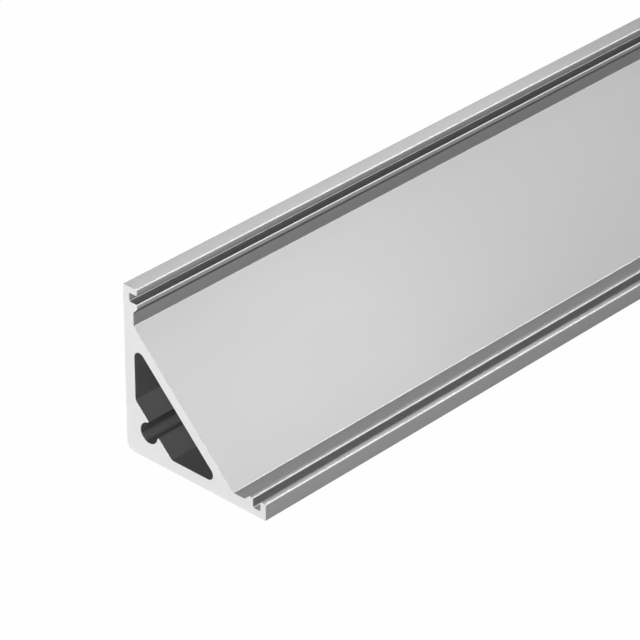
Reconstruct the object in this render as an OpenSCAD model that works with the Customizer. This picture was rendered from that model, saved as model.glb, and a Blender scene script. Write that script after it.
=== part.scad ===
// Corner profile for LED strips: one length of extruded aluminium.
// Two legs at a right angle, a slanted web that carries the strip,
// a hollow chamber behind the web and a screw channel in the corner block.
// The section is the same from end to end and alike on both legs.
// It is drawn with the outer corner at the origin and one leg along each axis.

/* [Size] */
// Outer width of each leg, from the outer corner to the tip
leg = 30; // [26:0.5:44]
// Length of the bar
bar_length = 500; // [200:50:3000]

/* [Walls] */
// Thickness of each leg
wall = 2.15; // [1.5:0.05:2.6]
// Thickness of the slanted web
web = 2.05; // [1.2:0.05:3]
// Distance from a leg's tip down to the strip seat on the web, along the leg
seat_drop = 6.8; // [6:0.1:8]

/* [Cover slots] */
// Thickness of the lip at each leg's tip
lip = 1.2; // [0.8:0.05:2]
// Width of the slot that takes the cover's foot
slot_w = 1.5; // [1:0.05:2]
// Metal left in the leg behind the slot
slot_floor = 1.35; // [0.8:0.05:1.45]
// How far the lip and the ridge stand in from the leg's outer face
lip_reach = 3.05; // [2.8:0.05:3.6]
// Flat crest of the ridge below the slot
ridge_flat = 0.9; // [0.5:0.05:1.5]

/* [Screw channel] */
// Bore of the channel that takes the end cap's screw
channel_d = 3.6; // [3:0.1:4.2]
// Distance from the channel's axis to each outer face
channel_inset = 4.95; // [4.2:0.05:5.6]
// Rise of the corner block's face above the channel's axis
block_rise = 1.45; // [1.1:0.05:1.7]

/* [Rounding] */
// Radius of the outer corner
corner_r = 1.3; // [0.5:0.1:3]
// Radius in the chamber's four corners
chamber_r = 1.1; // [0.5:0.1:1.5]
// Radius at the crest and at the foot of the ridge's slope
ridge_r = 0.5; // [0.2:0.05:0.6]
// Radius on the two nibs at the channel's mouth
nib_r = 0.25; // [0.15:0.05:0.35]
// Radius on the outer edges of the lips and the ridges
edge_r = 0.25; // [0.15:0.05:0.35]
// Radius in the inner corners of the slots and beside the seat
root_r = 0.2; // [0.1:0.05:0.3]

/* [Hidden] */
$fn = 48;

// Angle of the web's run, falling from one leg to the other
slant = -45;
// Rise of the ridge above the leg's inner face
ridge_rise = lip_reach - wall;
// Lower and upper edge of the slot, measured along the leg
slot_top = leg - lip;
slot_base = slot_top - slot_w;
// Where the ridge's slope starts, and where it has met the leg
crest_end = slot_base - ridge_flat;
slope_foot = crest_end - ridge_rise;
// Where the seat, the web's back and the corner block meet the leg's inner face
seat_at = leg - seat_drop;
web_back_at = seat_at - web * sqrt(2);
block_at = 2 * channel_inset + block_rise * sqrt(2) - wall;
// How far a rounding's tool reaches past the edges that it works on
spill = 0.4;
// How far an arc stands past the edges that it rounds, so that they cross and meet in a clean line
cross = 0.0002;
// Centres of the nibs, from the channel's axis: up to the mouth, and to each side
nib_back = block_rise - nib_r;
nib_half = sqrt(pow(channel_d / 2 + nib_r, 2) - pow(nib_back, 2));

// Point at a distance r in the direction of the angle a
function polar(r, a) = [r * cos(a), r * sin(a)];

// Bit between a corner and the arc that rounds it, for edges that leave at angles a and b
module corner_bit(at, a, b, r) {
    half = (b - a) / 2;
    centre = at + polar(r / sin(half), (a + b) / 2);
    difference() {
        polygon([
            at - polar(spill / sin(half), (a + b) / 2),
            centre + polar(r + spill, a - 90),
            centre,
            centre + polar(r + spill, b + 90)
        ]);
        translate(centre) circle(r = r + cross);
    }
}

// The same shape on both legs, mirrored over the corner's diagonal
module on_both_legs() {
    children();
    mirror([1, -1, 0]) children();
}

// Outline without its roundings: legs, lips, ridges, web and corner block as one
module raw_outline() {
    polygon([
        [0, 0],
        [leg, 0],
        [leg, lip_reach],
        [slot_top, lip_reach],
        [slot_top, slot_floor],
        [slot_base, slot_floor],
        [slot_base, lip_reach],
        [crest_end, lip_reach],
        [slope_foot, wall],
        [seat_at, wall],
        [wall, seat_at],
        [wall, slope_foot],
        [lip_reach, crest_end],
        [lip_reach, slot_base],
        [slot_floor, slot_base],
        [slot_floor, slot_top],
        [lip_reach, slot_top],
        [lip_reach, leg],
        [0, leg]
    ]);
}

// Metal that fills the inner corners of the slot, the ridge's foot and the seat
module inner_fillets() {
    corner_bit([slot_base, slot_floor], 0, 90, root_r);
    corner_bit([slot_top, slot_floor], 90, 180, root_r);
    corner_bit([slope_foot, wall], 45, 180, ridge_r);
    corner_bit([seat_at, wall], 0, 180 + slant, root_r);
}

// Metal that comes off the outer edges of the tip, the lip and the ridge
module edge_roundings() {
    corner_bit([leg, 0], 90, 180, edge_r);
    corner_bit([leg, lip_reach], 180, 270, edge_r);
    corner_bit([slot_top, lip_reach], 270, 360, edge_r);
    corner_bit([slot_base, lip_reach], 180, 270, edge_r);
    corner_bit([crest_end, lip_reach], 225, 360, ridge_r);
}

// Hollow behind the web, with its four rounded corners
module chamber() {
    difference() {
        polygon([
            [block_at, wall],
            [web_back_at, wall],
            [wall, web_back_at],
            [wall, block_at]
        ]);
        on_both_legs() {
            corner_bit([web_back_at, wall], 180 + slant, 180, chamber_r);
            corner_bit([block_at, wall], 0, 180 + slant, chamber_r);
        }
    }
}

// Screw channel and its mouth, which opens into the chamber between two round nibs
module screw_channel() {
    translate([channel_inset, channel_inset]) {
        circle(d = channel_d);
        rotate(45) difference() {
            polygon([
                [0, 0],
                [nib_back, -nib_half],
                [block_rise + spill, -nib_half],
                [block_rise + spill, nib_half],
                [nib_back, nib_half]
            ]);
            for (side = [-1, 1]) translate([nib_back, side * nib_half]) circle(r = nib_r + cross);
        }
    }
}

// Whole section of the bar
module section() {
    difference() {
        union() {
            raw_outline();
            on_both_legs() inner_fillets();
        }
        corner_bit([0, 0], 0, 90, corner_r);
        on_both_legs() edge_roundings();
        chamber();
        screw_channel();
    }
}

// The bar lies on one leg, with the other upright at its back
module profile() {
    color("gainsboro")
        translate([-bar_length / 2, leg / 2, 0])
            rotate([0, -90, 180])
                linear_extrude(bar_length) section();
}

profile();
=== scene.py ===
"""Dresses one length of an extruded corner profile for LED strips.

The bar's section is drawn again with fine arcs, and a Geometry Nodes tree sweeps
it into a closed mesh with the small edge break that a deburred cut has. Two
finishes dress it: the anodised skin and the sawn ends. The studio is a pale
floor, soft lamps and a camera at the photograph's viewing angle.
"""

import logging
import math
from dataclasses import dataclass
from enum import Enum

import bpy
from mathutils import Matrix, Vector


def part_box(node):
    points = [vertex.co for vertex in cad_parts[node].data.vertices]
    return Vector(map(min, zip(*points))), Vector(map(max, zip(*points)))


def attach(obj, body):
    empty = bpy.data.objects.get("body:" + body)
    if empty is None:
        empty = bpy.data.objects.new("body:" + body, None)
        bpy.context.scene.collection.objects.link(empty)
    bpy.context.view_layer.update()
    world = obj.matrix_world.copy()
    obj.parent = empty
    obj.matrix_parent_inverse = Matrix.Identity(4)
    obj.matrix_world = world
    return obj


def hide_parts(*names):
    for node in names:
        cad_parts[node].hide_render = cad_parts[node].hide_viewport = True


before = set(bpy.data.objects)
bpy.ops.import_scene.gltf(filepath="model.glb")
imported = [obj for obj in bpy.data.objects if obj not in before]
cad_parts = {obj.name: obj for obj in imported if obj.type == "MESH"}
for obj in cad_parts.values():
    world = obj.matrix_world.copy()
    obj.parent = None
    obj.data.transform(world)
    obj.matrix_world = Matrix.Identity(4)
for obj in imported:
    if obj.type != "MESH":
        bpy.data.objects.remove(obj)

logger = logging.getLogger("corner_profile")

MM = 0.001
NODE = "profile"
PIECE = "corner_profile"
BODY = "root"
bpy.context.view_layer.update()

# Attributes of the section and of the bar's mesh
OUTWARD = "outward"
# Per point of the section: painted highlight above 0, painted shade below 0
LIGHT_PAINT = "light_paint"
FACING = "facing"
IS_CUT = "is_cut"

Colour = tuple[float, float, float]
Socket = bpy.types.NodeSocket

WHITE = (1.0, 1.0, 1.0, 1.0)


class Ray(Enum):
    """Kinds of ray that see the white surroundings, by their Light Path outputs."""

    CAMERA = "Is Camera Ray"
    GLOSSY = "Is Glossy Ray"
    TRANSMISSION = "Is Transmission Ray"


class Turn(Enum):
    """Way in which an outline turns, with the metal on its left."""

    LEFT = 1
    RIGHT = -1


def unit(angle: float) -> Vector:
    """Direction of an angle in a plane.

    Args:
        angle: Angle in radians from the first axis.

    Returns:
        Flat vector one long.
    """
    return Vector((math.cos(angle), math.sin(angle)))


def rgba(colour: Colour, factor: float = 1.0) -> tuple[float, float, float, float]:
    """Colour for a node's input.

    Args:
        colour: Red, green and blue.
        factor: Number that lightens or darkens the colour.

    Returns:
        Red, green, blue and a full alpha.
    """
    red, green, blue = (min(1.0, part * factor) for part in colour)
    return red, green, blue, 1.0


@dataclass(frozen=True)
class PaintedLight:
    """Painted light along one rounding: 1 is a painted highlight, bright and fully metallic (on convex edges
    partly real rubbing), 0 is the plain satin skin, -1 is painted shade.

    Attributes:
        start: Painted light where the rounding starts.
        middle: Painted light half way round.
        end: Painted light where the rounding ends.
    """

    start: float = 0.0
    middle: float = 0.0
    end: float = 0.0

    def at(self, share: float) -> float:
        """Painted light at one share of the way round.

        Args:
            share: Share from 0 to 1.

        Returns:
            Painted light there.
        """
        straight = self.start + (self.end - self.start) * share
        swell = self.middle - (self.start + self.end) / 2
        return straight + swell * math.sin(math.pi * share)

    def reversed(self) -> "PaintedLight":
        """Same painted light, met from the other side."""
        return PaintedLight(self.end, self.middle, self.start)


@dataclass(frozen=True, kw_only=True)
class LegPaintedLight:
    """Painted highlights and painted shade along each rounding of one leg, from its tip to the seat.

    Attributes:
        tip: Outer edge of the leg's tip.
        lip_outer: Lip's edge at the leg's tip.
        lip_inner: Lip's edge at the slot.
        slot_top: Slot's root under the lip.
        slot_base: Slot's root beside the ridge.
        ridge: Ridge's edge at the slot.
        crest: Edge between the ridge's flat crest and its slope.
        foot: Foot of the ridge's slope.
        seat: Corner between the leg and the strip seat.
    """

    # Faint painted shade toward the tip's end; painted highlights on the lip's outer edge, in the slot's two
    # roots and in the seat's corner
    tip: PaintedLight = PaintedLight(0.0, 0.0, -0.08)
    lip_outer: PaintedLight = PaintedLight(0.0, 0.55, 0.12)
    lip_inner: PaintedLight
    slot_top: PaintedLight = PaintedLight(0.0, 0.4, 0.3)
    slot_base: PaintedLight = PaintedLight(0.3, 0.4, 0.0)
    ridge: PaintedLight
    crest: PaintedLight
    foot: PaintedLight = PaintedLight()
    seat: PaintedLight = PaintedLight(0.0, 0.7, 0.0)


# Painted shade on the upright ridge's slope, which hangs over the seat, toward the upright lip's lower edge
# and on the low lip's edge at its slot; painted highlights on the other edges
UPRIGHT_PAINTED_LIGHT = LegPaintedLight(
    lip_inner=PaintedLight(-0.20, 0.8, 0.4),
    ridge=PaintedLight(0.0, 0.5, 0.17),
    crest=PaintedLight(0.12, -0.7, -1.0),
    foot=PaintedLight(-1.0, -0.2, 0.0),
)
FLAT_PAINTED_LIGHT = LegPaintedLight(
    lip_inner=PaintedLight(-0.44, -0.3, 0.0),
    ridge=PaintedLight(0.0, 0.5, 0.07),
    crest=PaintedLight(0.06, 0.0, 0.0),
)


@dataclass(frozen=True)
class Spot:
    """One point of an outline.

    Attributes:
        place: Place in the section's plane.
        outward: Way out of the metal.
        light_paint: Painted highlight (above 0) or painted shade (below 0) of the skin there.
    """

    place: Vector
    outward: Vector
    light_paint: float


@dataclass(frozen=True)
class Corner:
    """One corner of an outline before it is rounded.

    Attributes:
        u: Place along the first leg.
        v: Place along the second leg.
        radius: Radius of its rounding.
        painted_light: Painted highlight and painted shade along its rounding.
    """

    u: float
    v: float
    radius: float
    painted_light: PaintedLight = PaintedLight()

    @property
    def place(self) -> Vector:
        """Place of the corner in the section's plane."""
        return Vector((self.u, self.v))

    def mirrored(self) -> "Corner":
        """Same corner on the other leg."""
        return Corner(self.v, self.u, self.radius, self.painted_light.reversed())


@dataclass(frozen=True)
class Arc:
    """One round stretch of an outline. Straight lines join it to the next.

    Attributes:
        centre: Centre of the arc.
        radius: Radius in metres.
        start: Angle at which the arc starts, in radians.
        sweep: Signed angle that it covers, in radians.
        turn: LEFT where the metal is inside the arc, RIGHT where it is outside.
        painted_light: Painted highlight and painted shade along the arc.
        fewest: Fewest steps that draw it.
    """

    centre: Vector
    radius: float
    start: float
    sweep: float
    turn: Turn
    painted_light: PaintedLight = PaintedLight()
    fewest: int = 3

    def points(self, step: float) -> list[Spot]:
        """Points along the arc.

        Args:
            step: Largest angle between two points, in radians.

        Returns:
            Points in order.
        """
        count = max(self.fewest, math.ceil(abs(self.sweep) / step))
        shares = [i / count for i in range(count + 1)]
        rays = [unit(self.start + self.sweep * share) for share in shares]
        return [
            Spot(self.centre + ray * self.radius, ray * self.turn.value, self.painted_light.at(share))
            for ray, share in zip(rays, shares)
        ]

    @classmethod
    def at_corner(cls, before: Vector, corner: Corner, after: Vector) -> "Arc":
        """Arc that rounds a corner of an outline.

        Args:
            before: Place of the corner before this one.
            corner: Corner to round.
            after: Place of the corner after this one.

        Returns:
            Arc that touches both edges of the corner.
        """
        place, radius = corner.place, corner.radius
        coming, going = (place - before).normalized(), (after - place).normalized()
        sweep = math.atan2(coming.cross(going), coming.dot(going))
        turn = Turn.LEFT if sweep > 0 else Turn.RIGHT
        left = Vector((-coming.y, coming.x)) * turn.value
        touch = place - coming * radius * math.tan(abs(sweep) / 2)
        start = math.atan2(-left.y, -left.x)
        return cls(touch + left * radius, radius, start, sweep, turn, corner.painted_light)


@dataclass(frozen=True)
class Section:
    """Section of the bar, with the outer corner at the origin and a leg along each axis.

    Attributes:
        leg: Outer width of each leg.
        wall: Thickness of each leg.
        web: Thickness of the slanted web.
        seat_drop: Distance from a leg's tip down to the strip seat.
        lip: Thickness of the lip at each leg's tip.
        slot_width: Width of the slot that takes the cover's foot.
        slot_floor: Metal left in the leg behind the slot.
        lip_reach: How far the lip and the ridge stand in from the outer face.
        ridge_flat: Flat crest of the ridge below the slot.
        channel_radius: Radius of the screw channel.
        channel_inset: Distance from the channel's axis to each outer face.
        block_rise: Rise of the corner block's face above the channel's axis.
        corner_radius: Radius of the outer corner.
        chamber_radius: Radius in the chamber's four corners.
        ridge_radius: Radius at the crest and at the foot of the ridge's slope.
        nib_radius: Radius of the two nibs at the channel's mouth.
        edge_radius: Radius on the outer edges of the lips and the ridges.
        root_radius: Radius in the slots' inner corners and beside the seat.
        arc_step: Largest angle between two points of an arc, in radians.
        upright_painted_light: Painted highlights and painted shade of the upright leg.
        flat_painted_light: Painted highlights and painted shade of the leg on the floor.
    """

    leg: float
    wall: float = 2.15 * MM
    web: float = 2.05 * MM
    seat_drop: float = 6.8 * MM
    lip: float = 1.2 * MM
    slot_width: float = 1.5 * MM
    slot_floor: float = 1.35 * MM
    lip_reach: float = 3.05 * MM
    ridge_flat: float = 0.9 * MM
    channel_radius: float = 1.8 * MM
    channel_inset: float = 4.95 * MM
    block_rise: float = 1.45 * MM
    corner_radius: float = 1.3 * MM
    chamber_radius: float = 1.1 * MM
    ridge_radius: float = 0.5 * MM
    nib_radius: float = 0.25 * MM
    edge_radius: float = 0.25 * MM
    root_radius: float = 0.2 * MM
    arc_step: float = math.radians(7.5)
    upright_painted_light: LegPaintedLight = UPRIGHT_PAINTED_LIGHT
    flat_painted_light: LegPaintedLight = FLAT_PAINTED_LIGHT

    @property
    def seat_at(self) -> float:
        """Height along a leg at which the strip seat meets it."""
        return self.leg - self.seat_drop

    @property
    def block_at(self) -> float:
        """Place along a leg at which the corner block's face meets it."""
        return 2 * self.channel_inset + self.block_rise * math.sqrt(2) - self.wall

    def leg_corners(self, light_paint: LegPaintedLight) -> list[Corner]:
        """Corners along a leg, from its tip to the seat.

        Args:
            light_paint: Painted highlights and painted shade of the leg's roundings.

        Returns:
            Corners in order.
        """
        slot_top = self.leg - self.lip
        slot_base = slot_top - self.slot_width
        crest_end = slot_base - self.ridge_flat
        slope_foot = crest_end - (self.lip_reach - self.wall)
        return [
            Corner(self.leg, 0.0, self.edge_radius, light_paint.tip),
            Corner(self.leg, self.lip_reach, self.edge_radius, light_paint.lip_outer),
            Corner(slot_top, self.lip_reach, self.edge_radius, light_paint.lip_inner),
            Corner(slot_top, self.slot_floor, self.root_radius, light_paint.slot_top),
            Corner(slot_base, self.slot_floor, self.root_radius, light_paint.slot_base),
            Corner(slot_base, self.lip_reach, self.edge_radius, light_paint.ridge),
            Corner(crest_end, self.lip_reach, self.ridge_radius, light_paint.crest),
            Corner(slope_foot, self.wall, self.ridge_radius, light_paint.foot),
            Corner(self.seat_at, self.wall, self.root_radius, light_paint.seat),
        ]

    def outline(self) -> list[Arc]:
        """Draws the outer outline.

        Returns:
            Its roundings in order, with the metal on the left.
        """
        outer_corner = Corner(0.0, 0.0, self.corner_radius)
        upright = self.leg_corners(self.upright_painted_light)
        flat = [corner.mirrored() for corner in reversed(self.leg_corners(self.flat_painted_light))]
        return self.rounded([outer_corner] + upright + flat)

    def hollow(self) -> list[Arc]:
        """Draws the chamber with its screw channel.

        Returns:
            Their roundings in order, with the metal on the left.
        """
        web_back = self.seat_at - self.web * math.sqrt(2)
        at_block = Corner(self.block_at, self.wall, self.chamber_radius)
        at_web = Corner(web_back, self.wall, self.chamber_radius)
        chamber = self.rounded([at_block, at_block.mirrored(), at_web.mirrored(), at_web])
        return chamber[:1] + self.channel() + chamber[1:]

    def channel(self) -> list[Arc]:
        """Draws the two nibs and the screw channel between them.

        Returns:
            Their arcs in order along the corner block's face.
        """
        middle = Vector((self.channel_inset, self.channel_inset))
        back = self.block_rise - self.nib_radius
        half = math.sqrt((self.channel_radius + self.nib_radius) ** 2 - back**2)
        spread = math.atan2(half, back)
        reach = math.hypot(half, back)
        diagonal = math.pi / 4
        near, far = (middle + unit(diagonal + side * spread) * reach for side in (-1, 1))
        bend = math.pi - spread
        around = 2 * spread - 2 * math.pi
        return [
            Arc(near, self.nib_radius, diagonal, bend, Turn.LEFT),
            Arc(middle, self.channel_radius, diagonal - spread, around, Turn.RIGHT),
            Arc(far, self.nib_radius, diagonal - bend, bend, Turn.LEFT),
        ]

    def rounded(self, corners: list[Corner]) -> list[Arc]:
        """Rounds each corner of a closed outline.

        Args:
            corners: Corners in order.

        Returns:
            One arc for each corner.
        """
        count = len(corners)
        return [
            Arc.at_corner(corners[i - 1].place, corners[i], corners[(i + 1) % count].place)
            for i in range(count)
        ]

    def mesh(self) -> bpy.types.Mesh:
        """Flat mesh of the section's two outlines.

        Returns:
            Mesh of points and edges, with the attributes named after OUTWARD and LIGHT_PAINT, the painted
            highlight and shade at each point.
        """
        spots: list[Spot] = []
        edges: list[tuple[int, int]] = []
        for loop in (self.outline(), self.hollow()):
            first = len(spots)
            spots += [spot for arc in loop for spot in arc.points(self.arc_step)]
            count = len(spots) - first
            edges += [(first + i, first + (i + 1) % count) for i in range(count)]
        mesh = bpy.data.meshes.new("section")
        mesh.from_pydata([spot.place.to_3d() for spot in spots], edges, [])
        ways = mesh.attributes.new(OUTWARD, "FLOAT_VECTOR", "POINT")
        ways.data.foreach_set("vector", [value for spot in spots for value in spot.outward.to_3d()])
        light_painted = mesh.attributes.new(LIGHT_PAINT, "FLOAT", "POINT")
        light_painted.data.foreach_set("value", [spot.light_paint for spot in spots])
        return mesh


class NodeSheet:
    """Short hand for adding and joining the nodes of one tree."""

    def __init__(self, tree: bpy.types.NodeTree) -> None:
        """Starts an empty sheet.

        Args:
            tree: Tree that takes the nodes.
        """
        self.tree = tree
        tree.nodes.clear()

    def add(self, kind: str, settings: dict | None = None, values: dict | None = None) -> bpy.types.Node:
        """Adds a node.

        Args:
            kind: Node's type name.
            settings: Values of the node's own properties, by name.
            values: Plain values or output sockets for its inputs, by name or place. None leaves
                an input as it is.

        Returns:
            The node.
        """
        node = self.tree.nodes.new(kind)
        for name, value in (settings or {}).items():
            setattr(node, name, value)
        for name, value in (values or {}).items():
            if isinstance(value, Socket):
                self.tree.links.new(value, node.inputs[name])
            elif value is not None:
                node.inputs[name].default_value = value
        return node

    def math(self, operation: str, *values: object) -> Socket:
        """Adds a math node.

        Args:
            operation: Math node's operation.
            values: Plain numbers or output sockets, in order.

        Returns:
            The result's socket.
        """
        return self.add("ShaderNodeMath", {"operation": operation}, dict(enumerate(values))).outputs[0]

    def xyz(self, **parts: object) -> Socket:
        """Adds a vector.

        Args:
            parts: Plain numbers or output sockets for X, Y and Z. What isn't given is 0.

        Returns:
            The vector's socket.
        """
        return self.add("ShaderNodeCombineXYZ", values=parts).outputs[0]

    def remap(self, value: Socket, limits: tuple[float, float], low: object, high: object) -> Socket:
        """Adds a clamped change of range.

        Args:
            value: Socket of the value.
            limits: Values that give the low and the high result.
            low: Plain number or output socket of the low result.
            high: Plain number or output socket of the high result.

        Returns:
            The result's socket.
        """
        values = {"Value": value, "To Min": low, "To Max": high}
        values["From Min"], values["From Max"] = limits
        return self.add("ShaderNodeMapRange", values=values).outputs[0]

    def mixed(self, share: Socket, first: object, second: object) -> Socket:
        """Adds a mix of two colours.

        Args:
            share: Share of the second colour.
            first: Plain colour or output socket of the first colour.
            second: Plain colour or output socket of the second colour.

        Returns:
            The colour's socket.
        """
        values = {"Factor": share, "A": first, "B": second}
        return self.add("ShaderNodeMix", {"data_type": "RGBA"}, values).outputs["Result"]

    def seen_by(self, *rays: Ray) -> Socket:
        """Adds a mask that is 1 for the given kinds of ray.

        Args:
            rays: Kinds of ray.

        Returns:
            The mask's socket.
        """
        path = self.add("ShaderNodeLightPath").outputs
        mask = path[rays[0].value]
        for ray in rays[1:]:
            mask = self.math("MAXIMUM", mask, path[ray.value])
        return mask

    def place(self) -> Socket:
        """Adds the place in object coordinates."""
        return self.add("ShaderNodeTexCoord").outputs["Object"]

    def surface(self, values: dict) -> None:
        """Adds the shader and joins it to the material's output.

        Args:
            values: Plain values or output sockets for the shader's inputs, by name.
        """
        shader = self.add("ShaderNodeBsdfPrincipled", values=values).outputs[0]
        self.add("ShaderNodeOutputMaterial", values={"Surface": shader})


class SweepSheet(NodeSheet):
    """Sheet of the bar's Geometry Nodes tree, with one step of the sweep in each method."""

    def __init__(self, tree: bpy.types.NodeTree) -> None:
        """Starts the sheet with the tree's inputs.

        Args:
            tree: Tree that has its named inputs already.
        """
        super().__init__(tree)
        self.given = self.add("NodeGroupInput").outputs
        self.outward = self.attribute(OUTWARD, "FLOAT_VECTOR")

    def attribute(self, name: str, kind: str) -> Socket:
        """Reads an attribute.

        Args:
            name: Attribute's name.
            kind: Its data type.

        Returns:
            The attribute's socket.
        """
        return self.add(
            "GeometryNodeInputNamedAttribute", {"data_type": kind}, {"Name": name}
        ).outputs["Attribute"]

    def joined(self, *parts: Socket) -> Socket:
        """Joins geometries.

        Args:
            parts: Sockets of the geometries, in order.

        Returns:
            Socket of the whole.
        """
        node = self.add("GeometryNodeJoinGeometry")
        for part in parts:
            self.tree.links.new(part, node.inputs[0])
        return node.outputs[0]

    def moved(self, geometry: Socket, sign: int, only: Socket | None = None) -> Socket:
        """Moves points by the edge break, along their outward direction.

        Args:
            geometry: Geometry whose points move.
            sign: 1 to move out of the metal, -1 to move into it.
            only: Points that move, or all of them.

        Returns:
            Socket of the moved geometry.
        """
        distance = self.math("MULTIPLY", self.given["Edge break"], float(sign))
        scaled = {0: self.outward, "Scale": distance}
        offset = self.add("ShaderNodeVectorMath", {"operation": "SCALE"}, scaled).outputs[0]
        values = {"Geometry": geometry, "Offset": offset, "Selection": only}
        return self.add("GeometryNodeSetPosition", values=values).outputs[0]

    def faced(self, geometry: Socket, facing: Socket, only: Socket | None = None) -> Socket:
        """Stores the direction for the points' shading.

        Args:
            geometry: Geometry that takes the attribute named after FACING.
            facing: Direction at each point.
            only: Points that take it, or all of them.

        Returns:
            Socket of the geometry.
        """
        values = {"Geometry": geometry, "Name": FACING, "Value": facing, "Selection": only}
        settings = {"data_type": "FLOAT_VECTOR", "domain": "POINT"}
        return self.add("GeometryNodeStoreNamedAttribute", settings, values).outputs[0]

    def walls(self, inner: Socket) -> Socket:
        """Draws the section out in three steps: an edge break, the long skin and the other edge break.

        Args:
            inner: Section drawn in by the edge break.

        Returns:
            Socket of the walls.
        """
        edge = self.given["Edge break"]
        skin = self.math("SUBTRACT", self.given["Length"], self.math("MULTIPLY", edge, 2.0))
        steps = ((edge, 1, self.outward), (skin, 0, self.outward), (edge, -1, self.xyz(Z=1.0)))
        bar = self.faced(inner, self.xyz(Z=-1.0))
        rim = None
        for run, sign, facing in steps:
            values = {"Mesh": bar, "Offset": self.xyz(Z=run), "Selection": rim}
            drawn = self.add("GeometryNodeExtrudeMesh", {"mode": "EDGES"}, values).outputs
            bar, rim = drawn["Mesh"], drawn["Top"]
            if sign:
                bar = self.moved(bar, sign, rim)
            bar = self.faced(bar, facing, rim)
        return self.add("GeometryNodeFlipFaces", values={"Mesh": bar}).outputs[0]

    def ends(self, inner: Socket) -> Socket:
        """Fills the section for the two cut ends, with the hollow left open.

        Args:
            inner: Section drawn in by the edge break.

        Returns:
            Socket of both ends, marked as cut.
        """
        curve = self.add("GeometryNodeMeshToCurve", values={"Mesh": inner}).outputs[0]
        filled = self.add("GeometryNodeFillCurve", {"mode": "TRIANGLES"}, {"Curve": curve}).outputs[0]
        near = self.add("GeometryNodeFlipFaces", values={"Mesh": filled}).outputs[0]
        to_far = {"Geometry": filled, "Translation": self.xyz(Z=self.given["Length"])}
        far = self.add("GeometryNodeTransform", values=to_far).outputs[0]
        both = self.joined(self.faced(near, self.xyz(Z=-1.0)), self.faced(far, self.xyz(Z=1.0)))
        settings = {"data_type": "BOOLEAN", "domain": "FACE"}
        marked = {"Geometry": both, "Name": IS_CUT, "Value": True}
        return self.add("GeometryNodeStoreNamedAttribute", settings, marked).outputs[0]

    def placed(self, bar: Socket) -> Socket:
        """Lays the bar down: its length along X, one leg on the floor and the other at the back.

        Args:
            bar: Bar that stands on its near end.

        Returns:
            Socket of the bar in the frame's own place, with its shading turned with it.
        """
        turn = (0.0, -math.pi / 2, math.pi)
        turned = self.add(
            "ShaderNodeVectorRotate",
            {"rotation_type": "EULER_XYZ"},
            {"Vector": self.attribute(FACING, "FLOAT_VECTOR"), "Rotation": turn},
        ).outputs[0]
        middle = self.xyz(
            X=self.math("MULTIPLY", self.given["Length"], -0.5),
            Y=self.math("MULTIPLY", self.given["Leg"], 0.5),
        )
        values = {"Geometry": self.faced(bar, turned), "Translation": middle, "Rotation": turn}
        return self.add("GeometryNodeTransform", values=values).outputs[0]

    def dressed(self, bar: Socket) -> Socket:
        """Makes the bar one real mesh and sets its two finishes.

        Args:
            bar: Bar in its place.

        Returns:
            Socket of the finished bar.
        """
        real = self.add("GeometryNodeRealizeInstances", values={"Geometry": bar}).outputs[0]
        skin = {"Geometry": real, "Material": self.given["Skin finish"]}
        skinned = self.add("GeometryNodeSetMaterial", values=skin).outputs[0]
        is_cut = self.attribute(IS_CUT, "BOOLEAN")
        cut = {"Geometry": skinned, "Selection": is_cut, "Material": self.given["Cut finish"]}
        return self.add("GeometryNodeSetMaterial", values=cut).outputs[0]


@dataclass(frozen=True)
class BarSweep:
    """Sweep of the flat section into the bar, with its ends closed.

    Attributes:
        length: Length of the bar, in metres.
        leg: Width of a leg, in metres.
        edge_break: Width of the small rounding where a cut end meets the skin.
        merge_within: Distance within which the walls' and the ends' points are made one.
    """

    length: float
    leg: float
    edge_break: float = 0.06 * MM
    merge_within: float = 0.001 * MM

    def fit(self, flat: bpy.types.Object, skin: bpy.types.Material, cut: bpy.types.Material) -> None:
        """Puts the tree on the flat section and sets its inputs, each by its socket's identifier.

        Args:
            flat: Object of the flat section.
            skin: Finish of the extruded surface.
            cut: Finish of the sawn ends.
        """
        given = {
            "Length": self.length,
            "Leg": self.leg,
            "Edge break": self.edge_break,
            "Merge within": self.merge_within,
            "Skin finish": skin,
            "Cut finish": cut,
        }
        modifier = flat.modifiers.new("sweep", "NODES")
        modifier.node_group = self.tree()
        for item in modifier.node_group.interface.items_tree:
            if item.name in given:
                modifier[item.identifier] = given[item.name]

    def tree(self) -> bpy.types.NodeTree:
        """Makes the Geometry Nodes tree.

        Returns:
            Tree with its sizes and finishes as named inputs.
        """
        tree = bpy.data.node_groups.new("bar_sweep", "GeometryNodeTree")
        inputs = {
            "NodeSocketGeometry": ("Section",),
            "NodeSocketFloat": ("Length", "Leg", "Edge break", "Merge within"),
            "NodeSocketMaterial": ("Skin finish", "Cut finish"),
        }
        for kind, names in inputs.items():
            for name in names:
                tree.interface.new_socket(name, in_out="INPUT", socket_type=kind)
        tree.interface.new_socket("Bar", in_out="OUTPUT", socket_type="NodeSocketGeometry")
        sheet = SweepSheet(tree)
        inner = sheet.moved(sheet.given["Section"], -1)
        whole = sheet.joined(sheet.walls(inner), sheet.ends(inner))
        values = {"Geometry": whole, "Distance": sheet.given["Merge within"]}
        merged = sheet.add("GeometryNodeMergeByDistance", values=values).outputs[0]
        sheet.add("NodeGroupOutput", values={"Bar": sheet.dressed(sheet.placed(merged))})
        return tree


@dataclass(frozen=True)
class Noise:
    """Fine uneven pattern of a finish.

    Attributes:
        scale: Scale of the pattern.
        detail: Number of finer layers.
        roughness: Strength of the finer layers.
    """

    scale: float
    detail: float
    roughness: float = 0.5

    def build(self, sheet: NodeSheet, place: Socket) -> Socket:
        """Adds the pattern.

        Args:
            sheet: Sheet of the material.
            place: Place that it follows.

        Returns:
            Socket of its strength, from 0 to 1.
        """
        values = {"Vector": place, "Scale": self.scale, "Detail": self.detail, "Roughness": self.roughness}
        return sheet.add("ShaderNodeTexNoise", values=values).outputs["Fac"]


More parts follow.
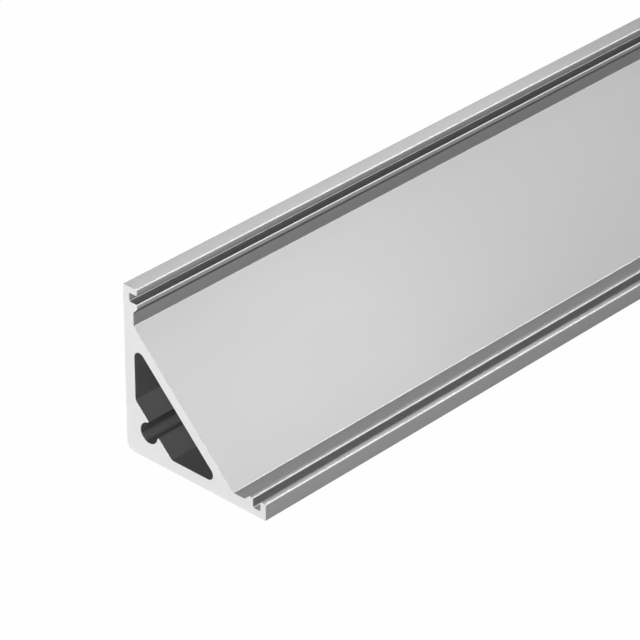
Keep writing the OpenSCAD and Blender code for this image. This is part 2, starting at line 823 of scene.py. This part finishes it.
@dataclass(frozen=True)
class AnodisedSkin:
    """Satin anodised aluminium: faint die lines along the bar, painted highlights on the edges (partly real
    rubbing), painted shade in the hollows and under the ridges.

    Attributes:
        section: Section of the bar, which tells the hollows apart.
        name: Material's name.
        colour: Colour of the satin flats.
        highlight_colour: Colour of the painted highlights on the edges.
        painted_shade_colour: Colour of the painted shade. The hollows take a share of it.
        colour_swing: Share by which the satin colour varies.
        metallic: Metallic share of the satin flats.
        roughness: Roughness of the satin flats.
        roughness_swing: How much that roughness varies.
        highlight_roughness: Roughness of the painted highlights on the edges.
        sheen: Specular level of the satin flats.
        painted_shade_sheen: Specular level under the painted shade.
        lines: Pattern of the die lines.
        line_stretch: Scale of the place that the die lines follow.
        line_share: Share of the die lines in the uneven tone. The clouds have the rest.
        line_bump: Strength of the die lines' relief.
        line_depth: Depth of the die lines' relief.
        clouds: Pattern of the film's clouds.
        usual_noise: Strengths of the patterns between which the roughness varies.
        upright_slot_shade: Share of the painted shade colour on the sides of the upright leg's slot.
        flat_slot_shade: Share of it on the sides of the flat leg's slot, where less shade falls.
        wall_shade: Share of it on the chamber's walls.
        block_shade: Share of it on the corner block's face.
        channel_shade: Share of it in the screw channel, beside the band left without painted shade.
        block_band: Half the width of the band that takes the block's share.
        face_slack: How far past the slot's own width its sides are still found.
        light_band_angles: Angles from the channel's bottom, in degrees, at which the band left without
            painted shade ends and at which the channel's painted shade is full.
    """

    section: Section
    name: str = "anodised_skin"
    colour: Colour = (0.50, 0.50, 0.50)
    highlight_colour: Colour = (0.90, 0.90, 0.90)
    painted_shade_colour: Colour = (0.06, 0.06, 0.06)
    colour_swing: float = 0.01
    metallic: float = 0.25
    roughness: float = 0.20
    roughness_swing: float = 0.02
    highlight_roughness: float = 0.22
    sheen: float = 0.5
    painted_shade_sheen: float = 0.05
    lines: Noise = Noise(6.0, 4.0, 0.6)
    line_stretch: tuple[float, float, float] = (3.0, 400.0, 400.0)
    line_share: float = 0.7
    line_bump: float = 0.015
    line_depth: float = 0.01 * MM
    clouds: Noise = Noise(60.0, 4.0)
    usual_noise: tuple[float, float] = (0.3, 0.7)
    upright_slot_shade: float = 0.42
    flat_slot_shade: float = 0.19
    wall_shade: float = 0.37
    block_shade: float = 0.0
    channel_shade: float = 0.55
    block_band: float = 0.2 * MM
    face_slack: float = 0.01 * MM
    light_band_angles: tuple[float, float] = (10.0, 28.0)

    def slot_shade(self, sheet: NodeSheet, low: Socket, high: Socket, upright: Socket) -> Socket:
        """Share of the painted shade colour on the sides of the slots.

        Args:
            sheet: Sheet of the material.
            low: Distance from the nearer outer face.
            high: Distance from the other outer face.
            upright: 1 on the upright leg, 0 on the flat one.

        Returns:
            Socket of the share.
        """
        form = self.section
        slot_middle = form.leg - form.lip - form.slot_width / 2
        beside = sheet.math("ABSOLUTE", sheet.math("SUBTRACT", high, slot_middle))
        in_slot = sheet.math("LESS_THAN", beside, form.slot_width / 2 + self.face_slack)
        off_floor = sheet.math("GREATER_THAN", low, form.slot_floor + form.root_radius / 2)
        off_mouth = sheet.math("LESS_THAN", low, form.lip_reach - form.edge_radius / 2)
        on_side = sheet.math("MULTIPLY", in_slot, sheet.math("MULTIPLY", off_floor, off_mouth))
        # Painted shade on the slots' sides, stronger on the upright leg
        more = self.upright_slot_shade - self.flat_slot_shade
        share = sheet.math("MULTIPLY_ADD", upright, more, self.flat_slot_shade)
        return sheet.math("MULTIPLY", on_side, share)

    def channel_shade_share(self, sheet: NodeSheet, off_block: Socket) -> Socket:
        """Share of the painted shade colour in the screw channel, with a band along its bottom left
        unshaded, so that it shows lighter.

        Args:
            sheet: Sheet of the material.
            off_block: Distance past the corner block's face, along both legs together.

        Returns:
            Socket of the share.
        """
        form = self.section
        clear, full = (
            -math.sqrt(2) * (form.block_rise + form.channel_radius * math.cos(math.radians(angle)))
            for angle in self.light_band_angles
        )
        return sheet.remap(off_block, (clear, full), 0.0, self.channel_shade)

    def chamber(self, sheet: NodeSheet, low: Socket, high: Socket) -> Socket:
        """Share of the painted shade colour in the chamber and its screw channel.

        Args:
            sheet: Sheet of the material.
            low: Distance from the nearer outer face.
            high: Distance from the other outer face.

        Returns:
            Socket of the share.
        """
        form = self.section
        across = sheet.math("ADD", low, high)
        behind_web = sheet.math("LESS_THAN", across, form.seat_at + form.wall - form.web / 2)
        off_skin = sheet.math("GREATER_THAN", low, form.slot_floor / 2)
        off_block = sheet.math("SUBTRACT", across, form.block_at + form.wall)
        on_block = sheet.math("LESS_THAN", sheet.math("ABSOLUTE", off_block), self.block_band)
        in_channel = sheet.math("LESS_THAN", off_block, -self.block_band)
        # Painted shade on the chamber's walls and in the channel, with a lighter band left along the
        # channel's bottom
        share = sheet.math("MULTIPLY_ADD", on_block, self.block_shade - self.wall_shade, self.wall_shade)
        more = sheet.math("SUBTRACT", self.channel_shade_share(sheet, off_block), self.wall_shade)
        share = sheet.math("MULTIPLY_ADD", in_channel, more, share)
        return sheet.math("MULTIPLY", sheet.math("MULTIPLY", behind_web, off_skin), share)

    def hollow(self, sheet: NodeSheet, place: Socket) -> Socket:
        """Share of the painted shade colour in the slots and in the chamber.

        Args:
            sheet: Sheet of the material.
            place: Place in object coordinates.

        Returns:
            Socket of the share, which is 0 on open faces.
        """
        parts = sheet.add("ShaderNodeSeparateXYZ", values={0: place}).outputs
        out = sheet.math("SUBTRACT", self.section.leg / 2, parts["Y"])
        low = sheet.math("MINIMUM", out, parts["Z"])
        high = sheet.math("MAXIMUM", out, parts["Z"])
        upright = sheet.math("GREATER_THAN", parts["Z"], out)
        slot_shade = self.slot_shade(sheet, low, high, upright)
        return sheet.math("MAXIMUM", slot_shade, self.chamber(sheet, low, high))

    def build(self) -> bpy.types.Material:
        """Makes the material.

        Returns:
            Material on object coordinates and on the bar's attribute of painted highlight and shade.
        """
        material = bpy.data.materials.new(self.name)
        material.use_nodes = True
        sheet = NodeSheet(material.node_tree)
        place = sheet.place()
        mapping = {"Vector": place, "Scale": self.line_stretch}
        lines = self.lines.build(sheet, sheet.add("ShaderNodeMapping", values=mapping).outputs[0])
        clouds = sheet.math("MULTIPLY", self.clouds.build(sheet, place), 1.0 - self.line_share)
        uneven = sheet.math("ADD", sheet.math("MULTIPLY", lines, self.line_share), clouds)
        light_paint = {"attribute_type": "GEOMETRY", "attribute_name": LIGHT_PAINT}
        # Painted highlights above 0 and painted shade below 0, read from the bar's points
        painted_light_level = sheet.add("ShaderNodeAttribute", light_paint).outputs["Fac"]
        # Painted shade: the hollows' share, and the attribute's side below 0
        painted_shade = sheet.math("MAXIMUM", self.hollow(sheet, place), sheet.math("MULTIPLY", painted_light_level, -1.0))
        smoother, rougher = (self.roughness + side * self.roughness_swing for side in (-1, 1))
        satin = sheet.remap(uneven, self.usual_noise, smoother, rougher)
        darker, lighter = (rgba(self.colour, 1.0 + side * self.colour_swing) for side in (-1, 1))
        tone = sheet.mixed(uneven, darker, lighter)
        # Painted highlights: a brighter colour where the attribute is above 0
        light_painted = sheet.mixed(painted_light_level, tone, rgba(self.highlight_colour))
        relief = {"Strength": self.line_bump, "Distance": self.line_depth, "Height": lines}
        sheet.surface(
            {
                "Base Color": sheet.mixed(painted_shade, light_painted, rgba(self.painted_shade_colour)),
                "Metallic": sheet.remap(painted_light_level, (0.0, 1.0), self.metallic, 1.0),
                "Roughness": sheet.remap(painted_light_level, (0.0, 1.0), satin, self.highlight_roughness),
                "Specular IOR Level": sheet.remap(painted_shade, (0.0, 1.0), self.sheen, self.painted_shade_sheen),
                "Normal": sheet.add("ShaderNodeBump", values=relief).outputs[0],
            }
        )
        return material


@dataclass(frozen=True)
class SawnEnd:
    """Bare cut aluminium with the fine arcs that a circular saw leaves.

    Attributes:
        name: Material's name.
        colour: Colour of the bare metal.
        colour_swing: Share by which that colour varies.
        metallic: Metallic share.
        roughness: Roughness.
        blade_radius: Radius of the saw blade.
        hub: Place of the blade's hub along Y and Z, in blade radii.
        tooth_pitch: Distance between two saw arcs.
        specks: Pattern of the cut's fine grain.
        wander: How far the grain shifts the arcs, in tooth pitches.
        arc_height: Height of the arcs beside the grain's.
        bump: Strength of the relief.
        depth: Depth of the relief.
    """

    name: str = "sawn_end"
    colour: Colour = (0.79, 0.79, 0.79)
    colour_swing: float = 0.015
    metallic: float = 0.0
    roughness: float = 0.5
    blade_radius: float = 150 * MM
    hub: tuple[float, float] = (-0.8, 0.7)
    tooth_pitch: float = 0.35 * MM
    specks: Noise = Noise(900.0, 3.0)
    wander: float = 0.8
    arc_height: float = 0.5
    bump: float = 0.08
    depth: float = 0.01 * MM

    def build(self) -> bpy.types.Material:
        """Makes the material.

        Returns:
            Material on object coordinates.
        """
        material = bpy.data.materials.new(self.name)
        material.use_nodes = True
        sheet = NodeSheet(material.node_tree)
        place = sheet.place()
        hub = (0.0, *(share * self.blade_radius for share in self.hub))
        off_hub = sheet.add("ShaderNodeVectorMath", {"operation": "SUBTRACT"}, {0: place, 1: hub}).outputs[0]
        across = {0: off_hub, 1: (0.0, 1.0, 1.0)}
        flat = sheet.add("ShaderNodeVectorMath", {"operation": "MULTIPLY"}, across).outputs[0]
        radius = sheet.add("ShaderNodeVectorMath", {"operation": "LENGTH"}, {0: flat}).outputs["Value"]
        speck = self.specks.build(sheet, place)
        pitches = sheet.math("DIVIDE", radius, self.tooth_pitch)
        turns = sheet.math("ADD", pitches, sheet.math("MULTIPLY", speck, self.wander))
        arcs = sheet.math("SINE", sheet.math("MULTIPLY", turns, 2 * math.pi))
        height = sheet.math("ADD", sheet.math("MULTIPLY", arcs, self.arc_height), speck)
        relief = {"Strength": self.bump, "Distance": self.depth, "Height": height}
        darker, lighter = (rgba(self.colour, 1.0 + side * self.colour_swing) for side in (-1, 1))
        sheet.surface(
            {
                "Base Color": sheet.mixed(speck, darker, lighter),
                "Metallic": self.metallic,
                "Roughness": self.roughness,
                "Normal": sheet.add("ShaderNodeBump", values=relief).outputs[0],
            }
        )
        return material


@dataclass(frozen=True)
class Bar:
    """The extruded bar itself.

    Attributes:
        section: Its section.
        sweep: Its sweep.
        skin: Finish of the extruded surface.
        cut: Finish of the sawn ends.
    """

    section: Section
    sweep: BarSweep
    skin: AnodisedSkin
    cut: SawnEnd

    def build(self) -> bpy.types.Object:
        """Makes the bar's mesh and dresses it.

        Returns:
            Object of the bar.
        """
        flat = bpy.data.objects.new("section", self.section.mesh())
        bpy.context.scene.collection.objects.link(flat)
        self.sweep.fit(flat, self.skin.build(), self.cut.build())
        solid = flat.evaluated_get(bpy.context.evaluated_depsgraph_get())
        mesh = bpy.data.meshes.new_from_object(solid)
        bpy.data.objects.remove(flat)
        mesh.name = PIECE
        self.shade(mesh)
        bar = bpy.data.objects.new(PIECE, mesh)
        bpy.context.scene.collection.objects.link(bar)
        return bar

    def shade(self, mesh: bpy.types.Mesh) -> None:
        """Sets the shading to the arcs' true directions, so that flats stay flat and arcs stay round.

        Args:
            mesh: Mesh of the bar, with the direction at each point.
        """
        facing = [Vector(item.vector).normalized() for item in mesh.attributes[FACING].data]
        mesh.shade_smooth()
        mesh.normals_split_custom_set_from_vertices(facing)
        for name in (FACING, OUTWARD, IS_CUT):
            mesh.attributes.remove(mesh.attributes[name])


@dataclass(frozen=True)
class Floor:
    """Plain white floor that keeps a soft shadow. The white that the metal reflects is painted to fade along
    the bar, a painted falloff of the light toward the far end.

    Attributes:
        near_x: Place of the bar's near end along X.
        side: Width of the floor.
        colour: Colour of its matt surface.
        glow: Share of plain white, where it is seen.
        painted_fade_from: Distance from the near end at which the reflected white starts its painted fade.
        painted_fade_over: Distance over which it fades.
        painted_fade_to: Share of the white that is left there, in reflections.
    """

    near_x: float
    side: float = 12.0
    colour: Colour = (0.86, 0.86, 0.86)
    glow: float = 0.985
    painted_fade_from: float = 20 * MM
    painted_fade_over: float = 180 * MM
    painted_fade_to: float = 0.25

    def build(self) -> None:
        """Makes the floor."""
        half = self.side / 2
        corners = [(-half, -half, 0), (half, -half, 0), (half, half, 0), (-half, half, 0)]
        mesh = bpy.data.meshes.new("floor")
        mesh.from_pydata(corners, [], [(0, 1, 2, 3)])
        mesh.materials.append(self.material())
        floor = bpy.data.objects.new("floor", mesh)
        bpy.context.scene.collection.objects.link(floor)

    def material(self) -> bpy.types.Material:
        """Makes the floor's surface.

        Returns:
            Material that is matt in the light, and white where it is seen, with a painted fade of the
            reflected white along the bar.
        """
        material = bpy.data.materials.new("white_floor")
        material.use_nodes = True
        sheet = NodeSheet(material.node_tree)
        matt = sheet.add("ShaderNodeBsdfDiffuse", values={"Color": rgba(self.colour)}).outputs[0]
        white = sheet.add("ShaderNodeEmission", values={"Strength": 1.0}).outputs[0]
        along = sheet.add("ShaderNodeSeparateXYZ", values={0: sheet.place()}).outputs["X"]
        fade_x = self.near_x + self.painted_fade_from
        # Painted falloff of light: the white that the metal reflects fades along the bar
        left = sheet.remap(along, (fade_x, fade_x + self.painted_fade_over), 1.0, self.painted_fade_to)
        mirrored = sheet.math("MULTIPLY", sheet.seen_by(Ray.GLOSSY, Ray.TRANSMISSION), left)
        seen = sheet.math("MAXIMUM", sheet.seen_by(Ray.CAMERA), mirrored)
        share = sheet.math("MULTIPLY", seen, self.glow)
        surface = sheet.add("ShaderNodeMixShader", values={0: share, 1: matt, 2: white}).outputs[0]
        sheet.add("ShaderNodeOutputMaterial", values={"Surface": surface})
        return material


@dataclass(frozen=True)
class Lamp:
    """One soft lamp, placed by its bearing from the point of the bar that it is aimed at.

    Its long side follows the bar.

    Attributes:
        name: Lamp's name.
        bearing: Bearing in degrees: 0 stands off the near end, 90 in front of the bar.
        rise: Angle above the floor in degrees.
        reach: Distance from that point in metres.
        size: Width and height of its face, in metres.
        watts: Power.
        along: Distance of that point from the bar's near end, in metres.
    """

    name: str
    bearing: float
    rise: float
    reach: float
    size: tuple[float, float]
    watts: float
    along: float = 60 * MM

    def build(self, near_end: Vector) -> None:
        """Makes the lamp.

        Args:
            near_end: Middle of the bar's near end.
        """
        data = bpy.data.lights.new(self.name, "AREA")
        data.shape = "RECTANGLE"
        data.size, data.size_y = self.size
        data.energy = self.watts
        lamp = bpy.data.objects.new(self.name, data)
        lamp.visible_camera = False
        bpy.context.scene.collection.objects.link(lamp)
        around, up = math.radians(self.bearing), math.radians(self.rise)
        flat = unit(around + math.pi) * math.cos(up)
        away = Vector((flat.x, flat.y, math.sin(up)))
        bar_way = Vector((1.0, 0.0, 0.0))
        long_side = (bar_way - away * away.x).normalized()
        turned = Matrix((long_side, away.cross(long_side), away)).transposed().to_4x4()
        target = near_end + bar_way * self.along
        lamp.matrix_world = Matrix.Translation(target + away * self.reach) @ turned


@dataclass(frozen=True)
class Studio:
    """Soft light, white surroundings and the camera.

    Attributes:
        near_corner: Bar's low back corner at its near end.
        fill: Strength of the world's even light. With 0 the lamps alone light what is matt.
        end_middle: Middle of the near end, from that corner.
        camera_offset: Place of the camera, from that corner.
        heading: Camera's turn about the vertical, in radians.
        tilt: Camera's turn up from the level, in radians.
        roll: Camera's turn about its own axis, in radians.
        focal_px: Focal length in pixels of the photograph.
        image_px: Width of the photograph in pixels.
        sensor: Width of the camera's sensor in millimetres.
        clip: Nearest and farthest distance that the camera sees.
    """

    near_corner: Vector
    fill: float = 0.0
    end_middle: tuple[float, float, float] = (0.0, -15 * MM, 15 * MM)
    camera_offset: tuple[float, float, float] = (-333.88 * MM, -350.51 * MM, 312.66 * MM)
    heading: float = math.radians(-47.175)
    tilt: float = math.radians(-30.898)
    roll: float = math.radians(0.176)
    focal_px: float = 3669.3
    image_px: int = 640
    sensor: float = 36.0
    clip: tuple[float, float] = (0.01, 50.0)

    def surround(self) -> None:
        """Makes the world: white where it is seen, and an even fill for the light."""
        world = bpy.data.worlds.new("surround")
        bpy.context.scene.world = world
        world.use_nodes = True
        sheet = NodeSheet(world.node_tree)
        fill, white = (
            sheet.add("ShaderNodeBackground", values={"Color": WHITE, "Strength": strength}).outputs[0]
            for strength in (self.fill, 1.0)
        )
        values = {0: sheet.seen_by(*Ray), 1: fill, 2: white}
        surface = sheet.add("ShaderNodeMixShader", values=values).outputs[0]
        sheet.add("ShaderNodeOutputWorld", values={"Surface": surface})

    def lamps(self) -> list[Lamp]:
        """Soft lamps of the studio.

        Returns:
            Lamps, each aimed at a point of the bar.
        """
        return [
            Lamp("end_lamp_side", -12, 5, 0.70, (0.12, 0.08), 1.05),
            Lamp("end_lamp_low", -4, 5, 0.71, (0.10, 0.08), 1.05),
            Lamp("end_lamp", 15, 15, 0.69, (0.12, 0.12), 1.21),
            Lamp("front_strip", 142, 37, 0.65, (0.30, 0.14), 0.23),
            Lamp("front_lamp", 129, 36, 0.59, (0.22, 0.16), 0.13),
            Lamp("front_wide", 136, 37, 0.62, (0.40, 0.16), 0.07, 100 * MM),
            Lamp("rear_strip_low", 230, 33, 0.83, (0.36, 0.15), 0.175, 70 * MM),
            Lamp("rear_strip_high", 221, 39.5, 0.81, (0.30, 0.10), 0.55, 25 * MM),
            Lamp("edge_strip", 185.6, 48.6, 0.80, (0.30, 0.05), 0.40),
            Lamp("top_strip", 90, 85, 0.60, (0.60, 0.15), 0.06, 150 * MM),
            Lamp("back_strip", 270, 12, 0.80, (0.60, 0.25), 4.0, 250 * MM),
        ]

    def camera(self) -> None:
        """Makes the camera at the photograph's place, angle and field of view."""
        data = bpy.data.cameras.new("camera")
        data.sensor_width = self.sensor
        data.lens = self.sensor * self.focal_px / self.image_px
        data.clip_start, data.clip_end = self.clip
        camera = bpy.data.objects.new("camera", data)
        bpy.context.scene.collection.objects.link(camera)
        place = Matrix.Translation(self.near_corner + Vector(self.camera_offset))
        turned = Matrix.Rotation(self.heading, 4, "Z") @ Matrix.Rotation(math.pi / 2 + self.tilt, 4, "X")
        camera.matrix_world = place @ turned @ Matrix.Rotation(self.roll, 4, "Z")
        bpy.context.scene.camera = camera

    def build(self) -> None:
        """Makes the camera, the world, the floor and the lamps."""
        self.camera()
        self.surround()
        Floor(self.near_corner.x).build()
        near_end = self.near_corner + Vector(self.end_middle)
        for lamp in self.lamps():
            lamp.build(near_end)
            logger.info("lamp %s: %.2f W", lamp.name, lamp.watts)
        bpy.context.scene.view_settings.view_transform = "Standard"


def main() -> None:
    """Builds the bar and the studio, and ties the bar to the frame."""
    logging.basicConfig(level=logging.INFO, format="%(name)s: %(message)s")
    low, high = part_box(NODE)
    leg = high[2] - low[2]
    section = Section(leg=leg)
    bar = Bar(section, BarSweep(high[0] - low[0], leg), AnodisedSkin(section), SawnEnd()).build()
    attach(bar, BODY)
    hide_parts(NODE)
    logger.info("piece %s: %d faces", bar.name, len(bar.data.polygons))
    Studio(Vector((low[0], high[1], low[2]))).build()


if __name__ == "__main__":
    main()
